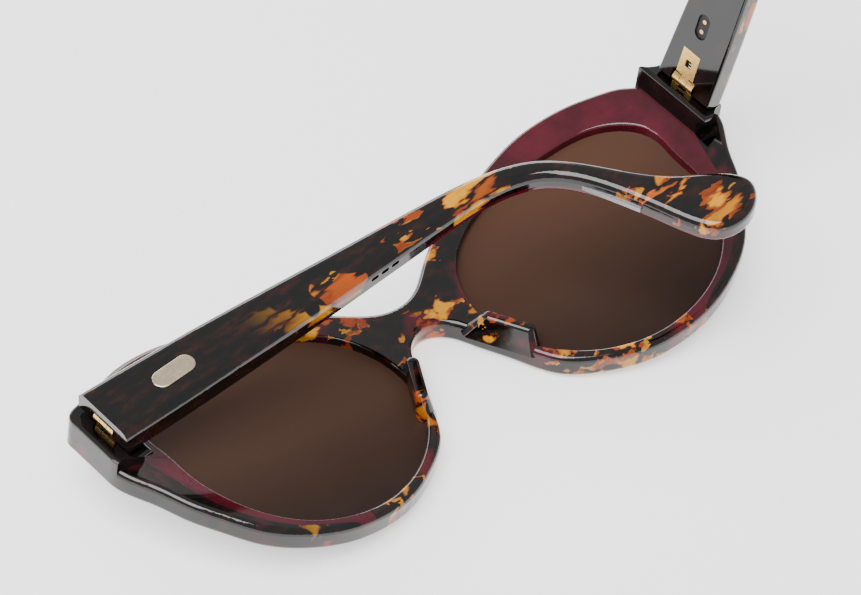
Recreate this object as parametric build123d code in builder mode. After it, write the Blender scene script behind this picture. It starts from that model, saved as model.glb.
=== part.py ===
"""Acetate sunglasses with an electronics module in each temple, in millimetres.

The glasses lie on the front of the frame. +X is the wearer's right, +Y is up as worn and +Z runs
back along an open temple. The origin is on the back of the bridge, midway between the lenses.
The right temple is open and the left one is folded over the lenses.
Pieces of a temple are drawn in the temple's own frame: X runs from the hinge pivot to the ear,
Y is up and Z points to the outside. Left pieces are the pattern and right ones are mirrored.
"""

from build123d import *
from math import cos, radians, sin, sqrt
import os

os.makedirs("parts", exist_ok=True)

# Front: overall sizes
lens_width = 50.5
lens_height = 43.3
bridge_gap = 20.6
front_width = 144.0
bend_radius = 229.0
frame_depth = 4.6
lens_center_y = -10.6

# Front: rims, bridge and brow
brow_rise = 6.6
rim_bottom = 2.4
rim_nose = 3.4
bridge_top = 1.8
bridge_bottom = -4.8
back_edge_round = 1.1
front_edge_round = 0.9
opening_round = 0.5
laminate_depth = 1.7

# Lenses
lens_thickness = 1.8
lens_recess = 1.8
lens_lip = 0.8
lens_clearance = 0.05

# End blocks that carry the hinges
block_top = 8.6
block_bottom = -5.1
block_width = 6.4
block_rise = 1.9
block_round = 0.7
block_cove = 1.8

# Nose pads
pad_length = 15.0
pad_width = 3.6
pad_top_length = 9.0
pad_top_width = 2.2
pad_turn = 60.0
pad_lean = 1.3
pad_height = 3.6
pad_round = 0.9
pad_sink = 1.2

# Temples
temple_splay = 9.5
left_fold = 92.66
temple_thickness = 5.0
tip_thickness = 4.0
temple_bend = 88.0
temple_end_top = 7.5
temple_end_bottom = -5.3
joint_gap = 0.3
outer_edge_round = 1.7
inner_edge_round = 0.5
cover_thickness = 1.2
cover_end = 66.0
end_chamfer = 0.8

# Hinges
pivot_inset = 1.2
pivot_up = 1.8
hinge_y = 1.4
knuckle_radius = 1.35
screw_radius = 0.7
screw_head_radius = 1.05
screw_head_height = 0.6
running_clearance = 0.04
slider_half_height = 0.85
knuckle_gap = 0.1
leaf_half_height = 2.5
leaf_thickness = 1.6
leaf_root = 3.2
slot_clearance = 0.4
box_length = 5.6
box_half_height = 2.1
box_cap = 0.25
box_window = 1.5
box_wall = 0.8
box_front_clearance = 0.05
spring_wire = 0.22
spring_radius = 0.74
spring_pitch = 0.62
rod_radius = 0.45
rod_clearance = 0.12
nut_thickness = 0.5

# Module inside a temple
pocket_start = 8.3
pocket_end = 62.0
pocket_depth = 2.2
pocket_wall = 2.1
pocket_top_margin = 0.9
board_thickness = 0.6
board_length = 20.0
battery_length = 18.0
battery_round = 0.5
speaker_length = 9.5
speaker_chamfer = 0.4
module_height = 2.7
module_gap = 1.2
module_lift = 0.15
module_floor_gap = 0.3
microphone_length = 2.6
microphone_width = 1.8
microphone_height = 0.9

# Steel core in the hook
core_thickness = 1.0
core_width = 2.0
core_y = -2.6
core_hook = 14.0

# Speaker openings
speaker_slot_length = 1.7
speaker_slot_width = 0.8

# Touch button on the left temple
button_length = 8.6
button_width = 3.7
button_x = 13.3
button_y = 0.1
button_proud = 0.25
button_travel = 0.3
button_clearance = 0.08
button_flange = 0.5
flange_thickness = 0.4
switch_length = 4.2
switch_width = 3.2
switch_radius = 1.1
switch_gap = 0.05

# Charging port on the inside of the right temple
port_length = 5.4
port_width = 2.8
port_x = 13.4
port_y = 1.1
port_recess = 0.35
contact_radius = 0.42
contact_spacing = 2.2

half_front = front_width / 2
lens_center_x = (bridge_gap + lens_width) / 2
block_inner = half_front - block_width


def back_height(x):
    """Height of the curved back face of the front at a distance x from the middle."""
    return bend_radius - sqrt(bend_radius**2 - x**2)


def near_lens(u, v, dx=0.0, dy=0.0):
    """Point at the fractions u, v of the lens half sizes, moved out by dx, dy."""
    x = lens_center_x + u * lens_width / 2 + dx
    y = lens_center_y + v * lens_height / 2 + dy
    return (x, y)


def opening_points(grow=0.0):
    """Outline of the right lens opening, made larger by grow on every side."""
    shape = [
        (1.0, 0.35), (0.945, 0.68), (0.75, 0.885), (0.37, 0.99), (-0.1, 0.985), (-0.51, 0.86),
        (-0.83, 0.59), (-1.0, 0.07), (-0.935, -0.33), (-0.75, -0.63), (-0.34, -0.93),
        (0.06, -1.0), (0.58, -0.81), (0.86, -0.45), (0.98, -0.02),
    ]
    wide = 1 + 2 * grow / lens_width
    tall = 1 + 2 * grow / lens_height
    return [near_lens(u * wide, v * tall) for u, v in shape]


def mirrored_points(points):
    return [(-x, y) for x, y in points]


# Outline of the right half of the front, from the bridge over the brow and back under the lens
block_middle = (block_top + block_bottom) / 2
right_half = [
    (0, bridge_top),
    near_lens(-1, 0.63, -5.3),
    near_lens(-1, 0.787, -0.3),
    near_lens(-0.774, 0.96),
    near_lens(-0.42, 1, 0, 2.2),
    near_lens(0.04, 1, 0, brow_rise - 1.0),
    near_lens(0.28, 1, 0, brow_rise),
    near_lens(0.52, 1, 0, brow_rise - 0.15),
    near_lens(0.76, 1, 0, brow_rise - 1.35),
    near_lens(0.97, 1, 0, brow_rise - 3.4),
    (half_front - 8.2, block_top + 3.6),
    (half_front - 5.8, block_top + 1.5),
    (half_front - 3.2, block_top + 0.5),
    (half_front - 0.9, block_top - 0.1),
    (half_front - 0.1, block_top - 1.2),
    (half_front, block_top - 2.8),
    (half_front, block_middle + 1.85),
    (half_front, block_middle),
    (half_front, block_bottom + 3.2),
    (half_front - 0.1, block_bottom + 0.4),
    near_lens(1, -0.03, 7.6),
    near_lens(1, -0.28, 4.9),
    near_lens(0.88, -0.52, 4.3),
    near_lens(0.87, -0.75, 0.6),
    near_lens(0.58, -1, 0, 0.3),
    near_lens(0.3, -1, 0, 0.5 - rim_bottom),
    near_lens(0.02, -1, 0, -rim_bottom),
    near_lens(-0.27, -1, 0, 1.0 - rim_bottom),
    near_lens(-0.58, -0.9, 0, -0.2),
    near_lens(-0.84, -0.68),
    near_lens(-1, -0.32, 3.3 - rim_nose),
    near_lens(-1, -0.02, -rim_nose),
    near_lens(-1, 0.17, -5.8),
    (0, bridge_bottom),
]
left_half = mirrored_points(right_half[-2:0:-1])

with BuildSketch() as front_outline:
    with BuildLine():
        Spline(*right_half, *left_half, periodic=True)
    make_face()

with BuildSketch() as openings:
    with BuildLine():
        Spline(*opening_points(), periodic=True)
    make_face()
    with BuildLine():
        Spline(*mirrored_points(opening_points()), periodic=True)
    make_face()

with BuildSketch() as lens_outlines:
    with BuildLine():
        Spline(*opening_points(lens_lip), periodic=True)
    make_face()
    with BuildLine():
        Spline(*mirrored_points(opening_points(lens_lip)), periodic=True)
    make_face()


def bend_ring(inner, outer):
    """Ring about the bend axis, between two depths below the back face, as a sketch."""
    with BuildSketch(Plane.XZ) as ring:
        with Locations((0, bend_radius)):
            Circle(bend_radius + outer)
            Circle(bend_radius + inner, mode=Mode.SUBTRACT)
    return ring.sketch


def curved_face(part, radius):
    """The bent face of a part at one radius from the bend axis."""
    curved = part.faces().filter_by(GeomType.CYLINDER)
    return [face for face in curved if abs(face.radius - radius) < 0.01][0]


# Whole front before it is divided into frame, laminates and blocks
half_depth = front_width / 3
half_height = lens_height + brow_rise
with BuildPart() as front_blank:
    extrude(front_outline.sketch, amount=half_depth, both=True)
    extrude(openings.sketch, amount=half_depth, both=True, mode=Mode.SUBTRACT)
    extrude(bend_ring(0, frame_depth), amount=half_height, both=True, mode=Mode.INTERSECT)
    fillet(curved_face(front_blank.part, bend_radius).outer_wire().edges(), back_edge_round)
    front_wire = curved_face(front_blank.part, bend_radius + frame_depth).outer_wire()
    fillet(front_wire.edges(), front_edge_round)
    fillet(curved_face(front_blank.part, bend_radius).inner_wires()[0].edges(), opening_round)
    fillet(curved_face(front_blank.part, bend_radius).inner_wires()[0].edges(), opening_round)

# Lens pair and the seat that they leave in the rims
lens_top = lens_recess + lens_thickness
with BuildPart() as lens_seats:
    extrude(lens_outlines.sketch, amount=half_depth, both=True)
    extrude(bend_ring(lens_recess, lens_top), amount=half_height, both=True, mode=Mode.INTERSECT)

with BuildPart() as right_lens:
    with BuildSketch():
        with BuildLine():
            Spline(*opening_points(lens_lip - lens_clearance), periodic=True)
        make_face()
    extrude(amount=half_depth, both=True)
    extrude(bend_ring(lens_recess, lens_top), amount=half_height, both=True, mode=Mode.INTERSECT)

# Region of the back layer that is a laminate in another colour, on the right side
laminate_top = lens_center_y + lens_height / 2 + brow_rise + 5
with BuildPart() as laminate_region:
    with BuildSketch():
        with BuildLine():
            strip = Spline(
                (block_inner, block_bottom), near_lens(1, 0.03, 3.2), near_lens(1, -0.32, 0.7),
                near_lens(0.85, -0.64), near_lens(0.57, -0.9), near_lens(0.3, -1.03), near_lens(0.1, -1.3),
            )
            Polyline(
                strip @ 1, near_lens(0.1, -0.6), near_lens(-0.06, 0.5), near_lens(-0.34, 1.4),
                (front_width, laminate_top), (front_width, block_bottom), strip @ 0,
            )
        make_face()
    extrude(amount=half_depth, both=True)
    extrude(bend_ring(-1, laminate_depth), amount=half_height, both=True, mode=Mode.INTERSECT)

# Frames of reference of the left temple: open, and folded as it lies at rest
splay_cos = cos(radians(temple_splay))
splay_sin = sin(radians(temple_splay))
pivot_out = temple_thickness - pivot_inset
block_edge_height = back_height(half_front) + block_rise
pivot_x = half_front - pivot_out * splay_cos + pivot_up * splay_sin
pivot_z = block_edge_height + pivot_out * splay_sin + pivot_up * splay_cos
open_left = Plane(
    origin=(-pivot_x, 0, pivot_z),
    x_dir=(-splay_sin, 0, splay_cos),
    z_dir=(-splay_cos, 0, -splay_sin),
)
fold_rise = radians(90 + temple_splay - left_fold)
folded_left = Plane(
    origin=(-pivot_x, 0, pivot_z),
    x_dir=(cos(fold_rise), 0, sin(fold_rise)),
    z_dir=(-sin(fold_rise), 0, cos(fold_rise)),
)


def write(part, label):
    """Label one finished piece and write its file."""
    part.label = label
    export_step(part, f"parts/{label}.step")


def write_front_pair(part, label):
    """Write a left piece of the front and its mirror image on the right."""
    write(part, f"left_{label}")
    write(mirror(part, about=Plane.YZ), f"right_{label}")


def left_at_rest(part):
    """A temple piece placed on the folded left temple."""
    return part.moved(folded_left.location)


def left_when_open(part):
    """A hinge or temple piece placed where the open left temple is."""
    return part.moved(open_left.location)


def write_temple_pair(part, label):
    """Write a temple piece on the folded left temple and on the open right one."""
    write(left_at_rest(part), f"left_{label}")
    write(mirror(left_when_open(part), about=Plane.YZ), f"right_{label}")


# Seat of the left end block: the part of the front above the laminate, out to the side
seat_low = block_bottom - block_cove
seat_high = block_top + block_width
with BuildPart() as left_block_seat:
    with BuildSketch():
        with BuildLine():
                        Polyline(
                (-block_inner, seat_low), (-block_inner, seat_high),
                (-front_width, seat_high), (-front_width, seat_low), close=True,
            )
        make_face()
    extrude(amount=half_depth, both=True)
    with BuildSketch(Plane.XZ):
        with Locations((0, bend_radius)):
            Circle(bend_radius + laminate_depth)
    extrude(amount=half_height, both=True, mode=Mode.INTERSECT)

# Front leaf of the hinge, in the open left temple's frame, with its root sunk in the end block
leaf_half = leaf_thickness / 2
outer_knuckle_from = slider_half_height + knuckle_gap
with BuildPart() as hinge_leaf:
    with BuildSketch(Plane.XZ.offset(-hinge_y)):
        Circle(knuckle_radius)
        with Locations((-pivot_up / 2, 0)):
            Rectangle(pivot_up, leaf_thickness)
    extrude(amount=leaf_half_height, both=True)
    with BuildSketch(Plane.XZ.offset(-hinge_y)):
        Circle(knuckle_radius + slot_clearance)
    extrude(amount=outer_knuckle_from, both=True, mode=Mode.SUBTRACT)
    with BuildSketch(Plane.XZ.offset(-hinge_y)):
        with Locations((-pivot_up - leaf_root / 2, 0)):
            Rectangle(leaf_root, leaf_thickness)
    extrude(amount=leaf_half_height, both=True)
    with BuildSketch(Plane.XZ.offset(-hinge_y)):
        Circle(screw_radius)
    extrude(amount=leaf_half_height, both=True, mode=Mode.SUBTRACT)
    with BuildSketch(Plane.XZ.offset(-hinge_y - leaf_half_height)):
        Circle(screw_head_radius)
    extrude(amount=screw_head_height, mode=Mode.SUBTRACT)

with BuildPart() as hinge_screw:
    with BuildSketch(Plane.XZ.offset(-hinge_y)):
        Circle(screw_radius)
    extrude(amount=leaf_half_height, both=True)
    with BuildSketch(Plane.XZ.offset(-hinge_y - leaf_half_height)):
        Circle(screw_head_radius)
    extrude(amount=screw_head_height)
    with BuildSketch(Plane.XZ.offset(-hinge_y - leaf_half_height)):
        Rectangle(2 * screw_head_radius, screw_head_radius / 3)
    extrude(amount=screw_head_height / 2, mode=Mode.SUBTRACT)

left_leaf = left_when_open(hinge_leaf.part)

# Left end block, cut square to the open temple, with a cove where it meets the lower rim
face_origin = open_left.origin - open_left.x_dir * pivot_up
seat_middle = -(half_front + block_inner) / 2
cove_height = back_height(seat_middle) + block_cove
cove_slope = (back_height(half_front) - back_height(block_inner)) / block_width
cove_plane = Plane(origin=(seat_middle, seat_low, cove_height), z_dir=(-1, 0, cove_slope))
with BuildPart() as left_block:
    with BuildSketch():
        with BuildLine():
            Spline(*right_half, *left_half, periodic=True)
        make_face()
    extrude(amount=half_depth, both=True)
    add(left_block_seat.part, mode=Mode.INTERSECT)
    with BuildSketch(Plane(origin=face_origin, x_dir=(0, 1, 0), z_dir=open_left.x_dir)):
        Rectangle(front_width, front_width)
    extrude(amount=front_width, mode=Mode.SUBTRACT)
    top_face = left_block.faces().sort_by(Axis(face_origin, open_left.x_dir))[-1]
    fillet(top_face.edges(), block_round)
    with BuildSketch(cove_plane):
        Rectangle(4 * block_cove, 2 * block_cove, align=(Align.MIN, Align.CENTER))
        Circle(block_cove)
    extrude(amount=block_width, both=True, mode=Mode.SUBTRACT)
    add(left_leaf, mode=Mode.SUBTRACT)

# Nose pads stand on the nose side of each rim and are sunk into it
pad_x, pad_y = near_lens(-1, -0.2, -0.4)
with BuildPart() as left_nose_pad:
    with BuildSketch(Plane.XY.offset(-pad_sink)):
        with Locations(Location((-pad_x, pad_y), pad_turn)):
            SlotOverall(pad_length, pad_width)
    with BuildSketch(Plane.XY.offset(pad_height)):
        with Locations(Location((-pad_x - pad_lean, pad_y), pad_turn)):
            SlotOverall(pad_top_length, pad_top_width)
    loft()
    fillet(left_nose_pad.faces().sort_by(Axis.Z)[-1].edges(), pad_round)

# Coloured laminate on the back of the brow and the outer rim
with BuildPart() as right_laminate:
    add(front_blank.part)
    add(laminate_region.part, mode=Mode.INTERSECT)
    add(mirror(left_block_seat.part, about=Plane.YZ), mode=Mode.SUBTRACT)

# Tortoise frame: what the laminates, blocks, pads and lenses leave of the front
with BuildPart() as front_frame:
    add(front_blank.part)
    add(laminate_region.part, mode=Mode.SUBTRACT)
    add(mirror(laminate_region.part, about=Plane.YZ), mode=Mode.SUBTRACT)
    add(left_block.part, mode=Mode.SUBTRACT)
    add(mirror(left_block.part, about=Plane.YZ), mode=Mode.SUBTRACT)
    add(left_leaf, mode=Mode.SUBTRACT)
    add(mirror(left_leaf, about=Plane.YZ), mode=Mode.SUBTRACT)
    add(left_nose_pad.part, mode=Mode.SUBTRACT)
    add(mirror(left_nose_pad.part, about=Plane.YZ), mode=Mode.SUBTRACT)
    add(lens_seats.part, mode=Mode.SUBTRACT)

write(front_frame.part, "front_frame")
write_front_pair(mirror(right_lens.part, about=Plane.YZ), "lens")
write_front_pair(mirror(right_laminate.part, about=Plane.YZ), "brow_laminate")
write_front_pair(left_block.part, "end_block")
write_front_pair(left_nose_pad.part, "nose_pad")
write_front_pair(left_leaf, "hinge_leaf")
write_front_pair(left_when_open(hinge_screw.part), "hinge_screw")

# Side view of a temple: the straight run follows the bend distance and the hook hangs from it
temple_start = joint_gap - pivot_up
bend = temple_bend
temple_outline = [
    (temple_start, temple_end_top), (bend * 0.15, 6.4), (bend * 0.39, 4.5), (bend * 0.62, 2.4),
    (bend * 0.8, 0.8), (bend - 4.5, -1.4), (bend + 3.2, -4.6), (bend + 9.5, -10.6),
    (bend + 19, -22.6), (bend + 26.5, -28.4), (bend + 29.3, -33.0), (bend + 26.4, -37.2),
    (bend + 17.8, -37.6), (bend + 13.0, -29.5), (bend + 8.2, -17.0), (bend + 2.6, -9.4),
    (bend - 5.5, -6.2), (bend * 0.8, -5.5), (bend * 0.6, -5.7), (bend * 0.35, -5.9),
    (temple_start, temple_end_bottom),
]
inner_level = -pivot_inset
outer_level = pivot_out
seam_level = inner_level + cover_thickness
temple_reach = bend + 40

with BuildPart() as temple_blank:
    with BuildSketch(Plane.XY.offset(inner_level)):
        with BuildLine():
            edge = Spline(*temple_outline)
            Line(edge @ 1, edge @ 0)
        make_face()
    extrude(amount=temple_thickness)
    with BuildSketch(Plane.XZ):
        with BuildLine():
            tip_level = inner_level + tip_thickness
            flat = Polyline(
                (temple_reach, tip_level), (temple_reach, inner_level), (temple_start, inner_level),
                (temple_start, outer_level), (bend * 0.25, outer_level),
            )
            Spline(flat @ 1, (bend * 0.7, (outer_level + 2 * tip_level) / 3), flat @ 0)
        make_face()
    extrude(amount=temple_reach, both=True, mode=Mode.INTERSECT)
    end_face = temple_blank.faces().sort_by(Axis.X)[0]
    chamfer(end_face.edges().sort_by(Axis.Z)[0], end_chamfer)
    outer_faces = temple_blank.faces().filter_by(lambda face: face.normal_at(face.center()).Z > 0.9)
    rim_edges = [e for e in outer_faces.edges() if abs((e @ 0.5).X - temple_start) > 0.1]
    seams = [e for e in rim_edges if sum(e in f.edges() for f in outer_faces) > 1]
    fillet([e for e in rim_edges if e not in seams], outer_edge_round)
    inner_side = temple_blank.faces().sort_by(Axis.Z)[0]
    inner_edges = [e for e in inner_side.edges() if (e @ 0.5).X > temple_start + end_chamfer + 0.1]
    fillet(inner_edges, inner_edge_round)

# Room that the hinge needs at the front end of a temple
slot_half = leaf_half_height + slot_clearance
slot_reach = knuckle_radius + slot_clearance
box_start = slot_reach
box_end = box_start + box_length
box_top = knuckle_radius + box_cap
with BuildPart() as hinge_room:
    with BuildSketch(Plane.XZ.offset(-hinge_y)):
        with BuildLine():
            Polyline(
                (temple_start - 1, inner_level - 1), (slot_reach, inner_level - 1),
                (slot_reach, slot_reach), (temple_start - 1, slot_reach), close=True,
            )
        make_face()
    extrude(amount=slot_half, both=True)
    with BuildSketch(Plane.XZ.offset(-hinge_y)):
        with BuildLine():
            Polyline(
                (box_start, inner_level - 1), (box_end, inner_level - 1),
                (box_end, box_top), (box_start, box_top), close=True,
            )
        make_face()
    extrude(amount=box_half_height, both=True)

# Pocket for the module: open to the inside and closed by the cover
pocket_floor = temple_end_bottom + pocket_wall
pocket_top_start = temple_end_top - pocket_wall - pocket_top_margin
pocket_top_end = pocket_floor + module_height + 2 * module_floor_gap
with BuildPart() as module_pocket:
    with BuildSketch(Plane.XY.offset(seam_level)):
        with BuildLine():
            Polyline(
                (pocket_start, pocket_floor), (pocket_end, pocket_floor),
                (pocket_end, pocket_top_end), (pocket_start, pocket_top_start), close=True,
            )
        make_face()
    extrude(amount=pocket_depth)

# Steel core that stiffens the hook, in a channel between arm and liner
core_start = cover_end + 3.0
with BuildPart() as core_wire:
    with BuildSketch(Plane.XY.offset(seam_level)):
        with BuildLine():
            run = Line((core_start, core_y), (bend - 6.0, core_y))
            turn = TangentArc(run @ 1, (bend + 6.5, core_y - 8.5), tangent=run % 1)
            Line(turn @ 1, (turn @ 1) + (turn % 1) * core_hook)
        trace(line_width=core_width)
    extrude(amount=core_thickness)

# Speaker slots through the lower wall of the arm
speaker_start = pocket_end - module_gap - speaker_length
with BuildPart() as speaker_slots:
    with BuildSketch(Plane.XZ.offset(-pocket_floor - 0.5)):
        with Locations((speaker_start + speaker_length / 2, seam_level + pocket_depth / 2)):
            with GridLocations(speaker_length / 4, 1, 3, 1):
                SlotOverall(speaker_slot_length, speaker_slot_width)
    extrude(amount=pocket_wall * 3)


def stadium(x, y, level, length, width, height):
    """Upright block with round ends on a plane parallel to the temple's side."""
    with BuildPart() as block:
        with BuildSketch(Plane.XY.offset(level)):
            with Locations((x, y)):
                SlotOverall(length, width)
        extrude(amount=height)
    return block.part


# Arm: outer tortoise layer with the pocket
with BuildPart() as arm_blank:
    add(temple_blank.part)
    with BuildSketch(Plane.XY.offset(seam_level)):
        Rectangle(4 * temple_reach, 4 * temple_reach)
    extrude(amount=-temple_thickness, mode=Mode.SUBTRACT)
    add(hinge_room.part, mode=Mode.SUBTRACT)
    add(module_pocket.part, mode=Mode.SUBTRACT)
    add(core_wire.part, mode=Mode.SUBTRACT)
    add(speaker_slots.part, mode=Mode.SUBTRACT)

# Inner layer, divided into the module's cover and the coloured liner behind it
with BuildPart() as inner_layer:
    add(temple_blank.part)
    with BuildSketch(Plane.XY.offset(seam_level)):
        Rectangle(4 * temple_reach, 4 * temple_reach)
    extrude(amount=temple_thickness, mode=Mode.SUBTRACT)
    add(hinge_room.part, mode=Mode.SUBTRACT)

with BuildPart() as cover_blank:
    add(inner_layer.part)
    with BuildSketch(Plane.YZ.offset(cover_end)):
        Rectangle(4 * temple_reach, 4 * temple_reach)
    extrude(amount=2 * temple_reach, mode=Mode.SUBTRACT)

with BuildPart() as temple_liner:
    add(inner_layer.part)
    with BuildSketch(Plane.YZ.offset(cover_end)):
        Rectangle(4 * temple_reach, 4 * temple_reach)
    extrude(amount=-2 * temple_reach, mode=Mode.SUBTRACT)

# Left arm has the button's hole; right cover has the port's hole
pocket_roof = seam_level + pocket_depth
hole_length = button_length + 2 * button_clearance
hole_width = button_width + 2 * button_clearance
with BuildPart() as left_arm:
    add(arm_blank.part)
    add(
        stadium(button_x, button_y, pocket_roof - 1, hole_length, hole_width, temple_thickness),
        mode=Mode.SUBTRACT,
    )

with BuildPart() as right_cover:
    add(cover_blank.part)
    add(
        stadium(port_x, port_y, inner_level - 1, port_length, port_width, temple_thickness),
        mode=Mode.SUBTRACT,
    )

# Touch button with a flange that keeps it in, and its switch below
button_foot = pocket_roof - flange_thickness - running_clearance
button_height = outer_level + button_proud - button_foot
flange_length = button_length + 2 * button_flange
flange_width = button_width + 2 * button_flange
with BuildPart() as touch_button:
    add(stadium(button_x, button_y, button_foot, button_length, button_width, button_height))
    fillet(touch_button.faces().sort_by(Axis.Z)[-1].edges(), button_proud * 0.8)
    add(stadium(button_x, button_y, button_foot, flange_length, flange_width, flange_thickness))

board_level = seam_level + module_lift
board_top = board_level + board_thickness
switch_top = button_foot - button_travel - switch_gap
switch_middle = (switch_top + board_top) / 2
with BuildPart() as button_switch:
    with BuildSketch(Plane.XY.offset(board_top)):
        with Locations((button_x, button_y)):
            Rectangle(switch_length, switch_width)
    extrude(amount=switch_middle - board_top)
    with BuildSketch(Plane.XY.offset(switch_middle)):
        with Locations((button_x, button_y)):
            Circle(switch_radius)
    extrude(amount=switch_top - switch_middle)

# Circuit board, battery, speaker and microphone in the pocket
module_bottom = pocket_floor + module_floor_gap
board_start = pocket_start + speaker_chamfer
module_thickness = pocket_depth - 2 * module_lift
with BuildPart() as circuit_board:
    with BuildSketch(Plane.XY.offset(board_level)):
        with Locations((board_start + board_length / 2, module_bottom + module_height)):
            Rectangle(board_length, 2 * module_height)
    extrude(amount=board_thickness)

battery_start = board_start + board_length + module_gap
with BuildPart() as battery:
    with BuildSketch(Plane.XY.offset(board_level)):
        with Locations((battery_start + battery_length / 2, module_bottom + module_height / 2)):
            Rectangle(battery_length, module_height)
    extrude(amount=module_thickness)
    fillet(battery.edges().filter_by(Axis.X), battery_round)

with BuildPart() as speaker:
    with BuildSketch(Plane.XY.offset(board_level)):
        with Locations((speaker_start + speaker_length / 2, module_bottom + module_height / 2)):
            Rectangle(speaker_length, module_height)
    extrude(amount=module_thickness)
    chamfer(speaker.edges().filter_by(Axis.Z), speaker_chamfer)

microphone_x = board_start + board_length - microphone_length
with BuildPart() as microphone:
    with BuildSketch(Plane.XY.offset(board_top)):
        with Locations((microphone_x, module_bottom + module_height)):
            Rectangle(microphone_length, microphone_width)
    extrude(amount=microphone_height)

# Charging port: housing sunk in the cover, with two round contacts
port_front = inner_level + port_recess
port_back = seam_level - running_clearance
contact_front = inner_level + port_recess / 2
with BuildPart() as charging_port:
    add(stadium(port_x, port_y, port_front, port_length, port_width, port_back - port_front))
    with BuildSketch(Plane.XY.offset(port_front)):
        with Locations((port_x, port_y)):
            with GridLocations(contact_spacing, 1, 2, 1):
                Circle(contact_radius)
    extrude(amount=cover_thickness, mode=Mode.SUBTRACT)

with BuildPart() as port_contacts:
    with BuildSketch(Plane.XY.offset(contact_front)):
        with Locations((port_x, port_y)):
            with GridLocations(contact_spacing, 1, 2, 1):
                Circle(contact_radius)
    extrude(amount=port_back - contact_front)

# Spring hinge in the temple: box, slider with the middle knuckle, and the coil on its rod
rod_bore = spring_radius + spring_wire / 2 + rod_clearance
rod_start = box_start + box_wall
box_front = inner_level - box_front_clearance
window_floor = -2 * rod_clearance
with BuildPart() as hinge_box:
    with BuildSketch(Plane.XZ.offset(-hinge_y)):
        with BuildLine():
            Polyline(
                (box_start, box_front), (box_end, box_front),
                (box_end, box_top), (box_start, box_top), close=True,
            )
        make_face()
    extrude(amount=box_half_height, both=True)
    with BuildSketch(Plane.YZ.offset(box_start)):
        with Locations((hinge_y, 0)):
            Rectangle(
                2 * (slider_half_height + running_clearance),
                leaf_thickness + 2 * running_clearance,
            )
    extrude(amount=box_wall, mode=Mode.SUBTRACT)
    with BuildSketch(Plane.YZ.offset(rod_start)):
        with Locations((hinge_y, 0)):
            Circle(rod_bore)
    extrude(amount=box_length - 2 * box_wall, mode=Mode.SUBTRACT)
    with BuildSketch(Plane.XY.offset(window_floor)):
        with Locations(((box_start + box_end) / 2, hinge_y)):
            Rectangle(box_window, box_window)
    extrude(amount=-temple_thickness, mode=Mode.SUBTRACT)

rod_end = box_end - box_wall - 2 * rod_clearance
with BuildPart() as hinge_slider:
    with BuildSketch(Plane.XZ.offset(-hinge_y)):
        Circle(knuckle_radius)
        with Locations((rod_start / 2, 0)):
            Rectangle(rod_start, leaf_thickness)
    extrude(amount=slider_half_height, both=True)
    with BuildSketch(Plane.XZ.offset(-hinge_y)):
        Circle(screw_radius + running_clearance)
    extrude(amount=slider_half_height, both=True, mode=Mode.SUBTRACT)
    with BuildSketch(Plane.YZ.offset(rod_start)):
        with Locations((hinge_y, 0)):
            Circle(rod_radius)
    extrude(amount=rod_end - rod_start)
    with BuildSketch(Plane.YZ.offset(rod_end - nut_thickness)):
        with Locations((hinge_y, 0)):
            Circle(spring_radius)
    extrude(amount=nut_thickness)

coil_start = rod_start + spring_wire
coil_length = rod_end - nut_thickness - spring_wire - coil_start
coil_radius = (spring_radius + rod_radius + spring_wire) / 2
with BuildPart() as hinge_spring:
    with BuildLine() as coil:
        Helix(
            pitch=spring_pitch,
            height=coil_length,
            radius=coil_radius,
            center=(coil_start, hinge_y, 0),
            direction=(1, 0, 0),
        )
    with BuildSketch(Plane(coil.edges()[0] @ 0, z_dir=coil.edges()[0] % 0)):
        Circle(spring_wire / 2)
    sweep(path=coil.edges()[0], is_frenet=True)

write(left_at_rest(left_arm.part), "left_temple_arm")
write(mirror(left_when_open(arm_blank.part), about=Plane.YZ), "right_temple_arm")
write(left_at_rest(cover_blank.part), "left_module_cover")
write(mirror(left_when_open(right_cover.part), about=Plane.YZ), "right_module_cover")
write_temple_pair(temple_liner.part, "temple_liner")
write_temple_pair(core_wire.part, "core_wire")
write_temple_pair(circuit_board.part, "circuit_board")
write_temple_pair(battery.part, "battery")
write_temple_pair(speaker.part, "speaker")
write_temple_pair(microphone.part, "microphone")
write_temple_pair(hinge_box.part, "hinge_box")
write_temple_pair(hinge_slider.part, "hinge_slider")
write_temple_pair(hinge_spring.part, "hinge_spring")
write(left_at_rest(touch_button.part), "touch_button")
write(left_at_rest(button_switch.part), "button_switch")
write(mirror(left_when_open(charging_port.part), about=Plane.YZ), "charging_port")
write(mirror(left_when_open(port_contacts.part), about=Plane.YZ), "port_contacts")
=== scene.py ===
"""Sunglasses with an electronics module in each temple: finishes, light and camera."""

from math import radians

import bpy
from mathutils import Matrix, Quaternion, Vector


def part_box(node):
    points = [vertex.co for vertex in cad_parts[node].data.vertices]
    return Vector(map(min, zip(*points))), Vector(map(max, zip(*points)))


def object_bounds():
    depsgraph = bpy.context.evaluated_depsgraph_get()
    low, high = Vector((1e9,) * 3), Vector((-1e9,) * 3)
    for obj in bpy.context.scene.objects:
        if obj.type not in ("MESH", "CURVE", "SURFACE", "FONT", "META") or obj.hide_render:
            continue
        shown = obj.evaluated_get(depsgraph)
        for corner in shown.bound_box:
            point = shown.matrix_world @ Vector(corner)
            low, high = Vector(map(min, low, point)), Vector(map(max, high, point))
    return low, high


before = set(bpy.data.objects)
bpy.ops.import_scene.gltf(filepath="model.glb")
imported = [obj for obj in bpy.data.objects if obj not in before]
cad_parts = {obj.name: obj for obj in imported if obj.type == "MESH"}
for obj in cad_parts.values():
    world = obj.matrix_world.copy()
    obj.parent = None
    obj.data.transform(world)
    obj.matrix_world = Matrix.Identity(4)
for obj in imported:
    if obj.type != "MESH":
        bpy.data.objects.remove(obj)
cad_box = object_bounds()

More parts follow.
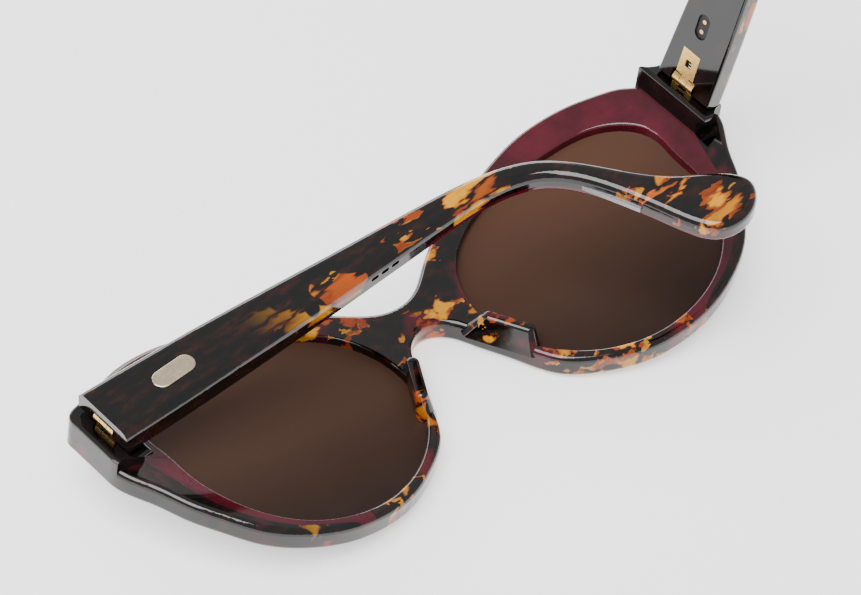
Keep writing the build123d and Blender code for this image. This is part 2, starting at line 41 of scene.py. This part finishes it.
floor_reach = 3.0
flake_scale = 0.26
chip_scale = 0.62
fleck_wander = 7.0


class Value:
    """An output socket that can be used in arithmetic: each operation adds a Math node."""

    def __init__(self, finish, socket):
        self.finish = finish
        self.socket = socket

    def maths(self, operation, *values):
        inputs = dict(enumerate(values))
        return self.finish.add("ShaderNodeMath", {"operation": operation}, inputs)

    def __add__(self, other):
        return self.maths("ADD", self, other)

    def __radd__(self, other):
        return self.maths("ADD", other, self)

    def __sub__(self, other):
        return self.maths("SUBTRACT", self, other)

    def __mul__(self, other):
        return self.maths("MULTIPLY", self, other)

    def __rmul__(self, other):
        return self.maths("MULTIPLY", other, self)

    def ramp(self, low, high):
        """0 below low, 1 above high, and smooth between."""
        inputs = {"Value": self, "From Min": low, "From Max": high}
        return self.finish.add("ShaderNodeMapRange", {"interpolation_type": "SMOOTHSTEP"}, inputs)


class Finish:
    """A material under construction, with one method that adds nodes."""

    def __init__(self, name):
        self.material = bpy.data.materials.new(name)
        self.material.use_nodes = True
        self.tree = self.material.node_tree
        self.tree.nodes.clear()

    def add(self, kind, settings=None, inputs=None, output=0):
        node = self.tree.nodes.new(kind)
        for key, setting in (settings or {}).items():
            setattr(node, key, setting)
        for key, given in (inputs or {}).items():
            if isinstance(given, Value):
                self.tree.links.new(given.socket, node.inputs[key])
            else:
                node.inputs[key].default_value = given
        return Value(self, node.outputs[output]) if node.outputs else None

    def place(self, stretch=(1, 1, 1), shift=(0, 0, 0)):
        """Position on the piece in millimetres, stretched and shifted."""
        point = self.add("ShaderNodeTexCoord", output="Object")
        scale = tuple(1000 * s for s in stretch)
        return self.add("ShaderNodeMapping", {}, {"Vector": point, "Scale": scale, "Location": shift})

    def parts(self, vector):
        """The X, Y and Z values of a position."""
        node = self.add("ShaderNodeSeparateXYZ", {}, {"Vector": vector}).socket.node
        return [Value(self, node.outputs[k]) for k in range(3)]

    def noise(self, place, scale, detail=2.0, roughness=0.5, output=0):
        inputs = {"Vector": place, "Scale": scale, "Detail": detail, "Roughness": roughness}
        return self.add("ShaderNodeTexNoise", {}, inputs, output)

    def mix(self, amount, low, high):
        """Colour between low and high."""
        inputs = {"Factor": amount, 6: low, 7: high}
        return self.add("ShaderNodeMix", {"data_type": "RGBA"}, inputs, 2)

    def bump(self, height, strength, depth):
        inputs = {"Height": height, "Strength": strength, "Distance": depth}
        return self.add("ShaderNodeBump", {}, inputs)

    def surface(self, **inputs):
        """Join a Principled surface to the output and give back the material."""
        inputs = {key.replace("_", " "): given for key, given in inputs.items()}
        shader = self.add("ShaderNodeBsdfPrincipled", {}, inputs)
        self.add("ShaderNodeOutputMaterial", {}, {"Surface": shader})
        return self.material


def colour(red, green, blue):
    """Linear colour from display values between 0 and 255."""
    return tuple((c / 255) ** 2.2 for c in (red, green, blue)) + (1.0,)


def polish_wear(finish, place):
    """Roughness of hand-polished acetate: nearly clear, with faint rubbed patches."""
    rubbed = finish.noise(place, 0.12, 3.0).ramp(0.45, 0.75)
    hairlines = finish.noise(place, 2.2, 4.0).ramp(0.5, 0.9)
    return 0.045 + 0.04 * rubbed + 0.03 * hairlines


def polish_waves(finish, place):
    """Faint waves that a buffing wheel leaves on a polished face."""
    return finish.bump(finish.noise(place, 0.09, 1.0), 0.06, 0.001)


def tortoise(name, clear_from, clear_to, axis, stretch, shift, density, red=0.0):
    """Dark tortoise acetate; flecks fade in between two distances along one axis, in mm."""
    finish = Finish(name)
    plain = finish.place()
    along = finish.parts(plain)[axis]
    stretched = finish.place(stretch, shift)
    wobble = finish.noise(stretched, 0.22, 3.0, 0.6, output=1)
    wander = {0: wobble, 1: (fleck_wander,) * 3, 2: stretched}
    bent = finish.add("ShaderNodeVectorMath", {"operation": "MULTIPLY_ADD"}, wander)
    large = {"Vector": bent, "Scale": flake_scale}
    tint = finish.add("ShaderNodeTexVoronoi", {}, large, 1)
    edge = finish.add("ShaderNodeTexVoronoi", {"feature": "DISTANCE_TO_EDGE"}, large)
    small = {"Vector": bent, "Scale": chip_scale}
    chips = finish.parts(finish.add("ShaderNodeTexVoronoi", {}, small, 1))[0]
    chance, warmth, streak = finish.parts(tint)
    cluster = finish.noise(plain, 0.085, 1.0).ramp(0.42, 0.60)
    bias = (cluster - 0.5) * 0.38 + density
    flake = (chance + bias).ramp(0.86, 0.90) * edge.ramp(0.02, 0.12)
    chip = (chips + bias).ramp(0.96, 0.99)
    fleck = flake.maths("MAXIMUM", flake, chip * 0.85) * along.ramp(clear_from, clear_to)
    depth = finish.noise(stretched, 0.5, 4.0, 0.65)
    haze = finish.noise(plain, 0.11, 2.0).ramp(0.52, 0.68)
    dark = finish.mix(depth.ramp(0.45, 0.8), colour(12, 9, 9), colour(50, 22, 12))
    dark = finish.mix(haze * red, dark, colour(96, 18, 34))
    amber = finish.mix(warmth.ramp(0.1, 0.6), colour(170, 70, 6), colour(214, 146, 14))
    amber = finish.mix(edge.ramp(0.02, 0.22), colour(150, 62, 10), amber)
    amber = finish.mix(depth.ramp(0.48, 0.8) * 0.5, amber, colour(128, 52, 8))
    glow = finish.mix(fleck * (0.6 + 0.4 * streak), dark, amber)
    return finish.surface(
        Base_Color=glow, Roughness=polish_wear(finish, plain), Normal=polish_waves(finish, plain),
        Coat_Weight=0.35, Coat_Roughness=0.03, IOR=1.46,
    )


def laminate():
    """Deep burgundy acetate, a little cloudy in its depth."""
    finish = Finish("burgundy_acetate")
    place = finish.place()
    cloud = finish.noise(place, 0.14, 3.0)
    streaks = finish.noise(finish.place((1, 3, 1)), 0.6, 3.0)
    tone = finish.mix(cloud.ramp(0.35, 0.7), colour(58, 10, 22), colour(80, 16, 33))
    tone = finish.mix(streaks.ramp(0.5, 0.8) * 0.4, tone, colour(42, 8, 16))
    return finish.surface(
        Base_Color=tone, Roughness=polish_wear(finish, place), Normal=polish_waves(finish, place),
        Coat_Weight=0.35, Coat_Roughness=0.03, IOR=1.46,
    )


def black_acetate():
    """Near-black acetate of the end blocks and the module covers."""
    finish = Finish("black_acetate")
    place = finish.place()
    depth = finish.noise(place, 0.2, 3.0).ramp(0.4, 0.8)
    tone = finish.mix(depth, colour(12, 11, 11), colour(30, 22, 19))
    return finish.surface(
        Base_Color=tone, Roughness=polish_wear(finish, place), Normal=polish_waves(finish, place),
        Coat_Weight=0.35, Coat_Roughness=0.03, IOR=1.46,
    )


def tinted_lens():
    """Brown lens, lighter towards the top as a painted reflection of soft overhead light, with a hint of
    wiped dust.
    """
    finish = Finish("tinted_lens")
    place = finish.place()
    low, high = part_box("right_lens")
    height = finish.parts(place)[1]
    # painted reflection: the lens colour grows lighter from the lower rim to the top, standing in for soft
    # overhead light reflected in the lens
    shade = height.ramp(low[1] * 1000, high[1] * 1000)
    cloud = finish.noise(place, 0.05, 2.0)
    tone = finish.mix(shade, colour(44, 34, 30), colour(80, 57, 46))
    tone = finish.mix(cloud.ramp(0.4, 0.7) * 0.12, tone, colour(70, 52, 46))
    wiped = finish.noise(finish.place((1, 0.25, 1)), 1.6, 3.0).ramp(0.5, 0.9)
    return finish.surface(
        Base_Color=tone, Roughness=0.3 + 0.05 * wiped, Coat_Weight=0.04, Coat_Roughness=0.3, IOR=1.2,
    )


def plated(name, light, dark, roughness, grain):
    """Plated metal with fine lines from turning or brushing."""
    finish = Finish(name)
    place = finish.place(grain)
    lines = finish.noise(place, 3.0, 4.0, 0.6)
    tone = finish.mix(lines.ramp(0.3, 0.7), light, dark)
    worn = finish.noise(finish.place(), 0.9, 3.0).ramp(0.45, 0.8)
    return finish.surface(
        Base_Color=tone, Metallic=1.0, Roughness=roughness + 0.1 * worn + 0.08 * lines,
        Normal=finish.bump(lines, 0.15, 0.0001),
    )


def moulded(name, low, high, roughness):
    """Moulded plastic or solder mask with a fine texture."""
    finish = Finish(name)
    place = finish.place()
    grain = finish.noise(place, 6.0, 3.0)
    tone = finish.mix(finish.noise(place, 0.5, 3.0).ramp(0.4, 0.7), low, high)
    return finish.surface(
        Base_Color=tone, Roughness=roughness + 0.1 * grain, Normal=finish.bump(grain, 0.25, 0.0001),
    )


def dress(material, *nodes):
    """Give CAD nodes a finish."""
    for node in nodes:
        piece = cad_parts[node]
        piece.data.materials.clear()
        piece.data.materials.append(material)
        piece.data.shade_smooth()


def pair(*names):
    return [f"{side}_{name}" for name in names for side in ("left", "right")]


def dress_nodes():
    front = tortoise("front_tortoise", -58, -38, 0, (0.75, 1, 1), (3, 7, 0), 0.03, 0.55)
    hinge_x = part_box("left_temple_arm")[0][0] * 1000
    left = tortoise("left_temple_tortoise", hinge_x + 28, hinge_x + 52, 0, (0.4, 1.2, 1), (11, 3, 0), 0.03)
    hinge_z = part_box("right_temple_arm")[0][2] * 1000
    right = tortoise("right_temple_tortoise", hinge_z + 2, hinge_z + 12, 2, (1, 1.1, 0.4), (5, 2, 9), 0.06)
    dress(front, "front_frame", *pair("nose_pad"))
    dress(left, "left_temple_arm")
    dress(right, "right_temple_arm")
    dress(laminate(), *pair("brow_laminate", "temple_liner"))
    dress(black_acetate(), *pair("end_block", "module_cover"))
    dress(tinted_lens(), *pair("lens"))
    gold = plated("gold_plate", colour(236, 200, 128), colour(206, 160, 84), 0.16, (1, 1, 3))
    champagne = plated("champagne_button", colour(238, 222, 196), colour(214, 192, 158), 0.24, (4, 1, 1))
    steel = plated("drawn_steel", colour(190, 192, 196), colour(150, 152, 158), 0.28, (1, 1, 4))
    dress(gold, *pair("hinge_leaf", "hinge_box", "hinge_slider", "hinge_screw"), "port_contacts")
    dress(champagne, "touch_button")
    dress(steel, *pair("core_wire", "hinge_spring", "battery", "microphone"))
    board = moulded("solder_mask", colour(14, 62, 40), colour(22, 84, 54), 0.4)
    plastic = moulded("black_plastic", colour(16, 16, 17), colour(28, 28, 30), 0.45)
    dress(board, *pair("circuit_board"))
    dress(plastic, *pair("speaker"), "button_switch", "charging_port")


def studio():
    """Plain pale floor under the glasses."""
    lowest = cad_box[0][2]
    signs = [(-1, -1), (1, -1), (1, 1), (-1, 1)]
    corners = [(x * floor_reach, y * floor_reach, lowest) for x, y in signs]
    mesh = bpy.data.meshes.new("floor")
    mesh.from_pydata(corners, [], [(0, 1, 2, 3)])
    floor = bpy.data.objects.new("floor", mesh)
    bpy.context.scene.collection.objects.link(floor)
    finish = Finish("floor_white")
    mottle = finish.noise(finish.place(), 0.01, 2.0)
    tone = finish.mix(mottle, (0.93, 0.93, 0.93, 1), (0.95, 0.95, 0.95, 1))
    floor.data.materials.append(
        finish.surface(Base_Color=tone, Roughness=0.9, IOR=1.2, Emission_Color=tone, Emission_Strength=0.95)
    )


def soft_box(name, direction, distance, width, height, power):
    """Rectangular soft light that faces the glasses."""
    light = bpy.data.lights.new(name, "AREA")
    light.shape = "RECTANGLE"
    light.size = width
    light.size_y = height
    light.energy = power
    lamp = bpy.data.objects.new(name, light)
    bpy.context.scene.collection.objects.link(lamp)
    away = Vector(direction).normalized()
    lamp.location = away * distance
    lamp.rotation_euler = away.to_track_quat("Z", "Y").to_euler()


def lights():
    soft_box("overhead", (-0.45, -0.1, 1.0), 1.2, 0.9, 0.9, 22)
    soft_box("back", (0.3, 1.0, 0.34), 1.3, 1.4, 0.4, 9)
    soft_box("side", (-1.0, 0.25, 0.4), 1.2, 0.4, 0.9, 5)
    world = bpy.data.worlds.new("studio")
    bpy.context.scene.world = world
    world.use_nodes = True
    shade = world.node_tree.nodes["Background"]
    shade.inputs["Color"].default_value = (1, 1, 1, 1)
    shade.inputs["Strength"].default_value = 0.62


camera_direction = (-0.5168, -0.4491, 0.7288)
camera_aim = (0.0012, -0.0044, 0.0066)
camera_distance = 0.900
camera_roll = 9.1
camera_lens = 213.7


def camera():
    data = bpy.data.cameras.new("camera")
    data.lens = camera_lens
    data.sensor_width = 36
    data.clip_end = 20
    eye = bpy.data.objects.new("camera", data)
    bpy.context.scene.collection.objects.link(eye)
    away = Vector(camera_direction).normalized()
    turn = away.to_track_quat("Z", "Y") @ Quaternion((0, 0, 1), radians(camera_roll))
    place = Vector(camera_aim) + away * camera_distance
    eye.matrix_world = Matrix.Translation(place) @ turn.to_matrix().to_4x4()
    bpy.context.scene.camera = eye


dress_nodes()
studio()
lights()
camera()
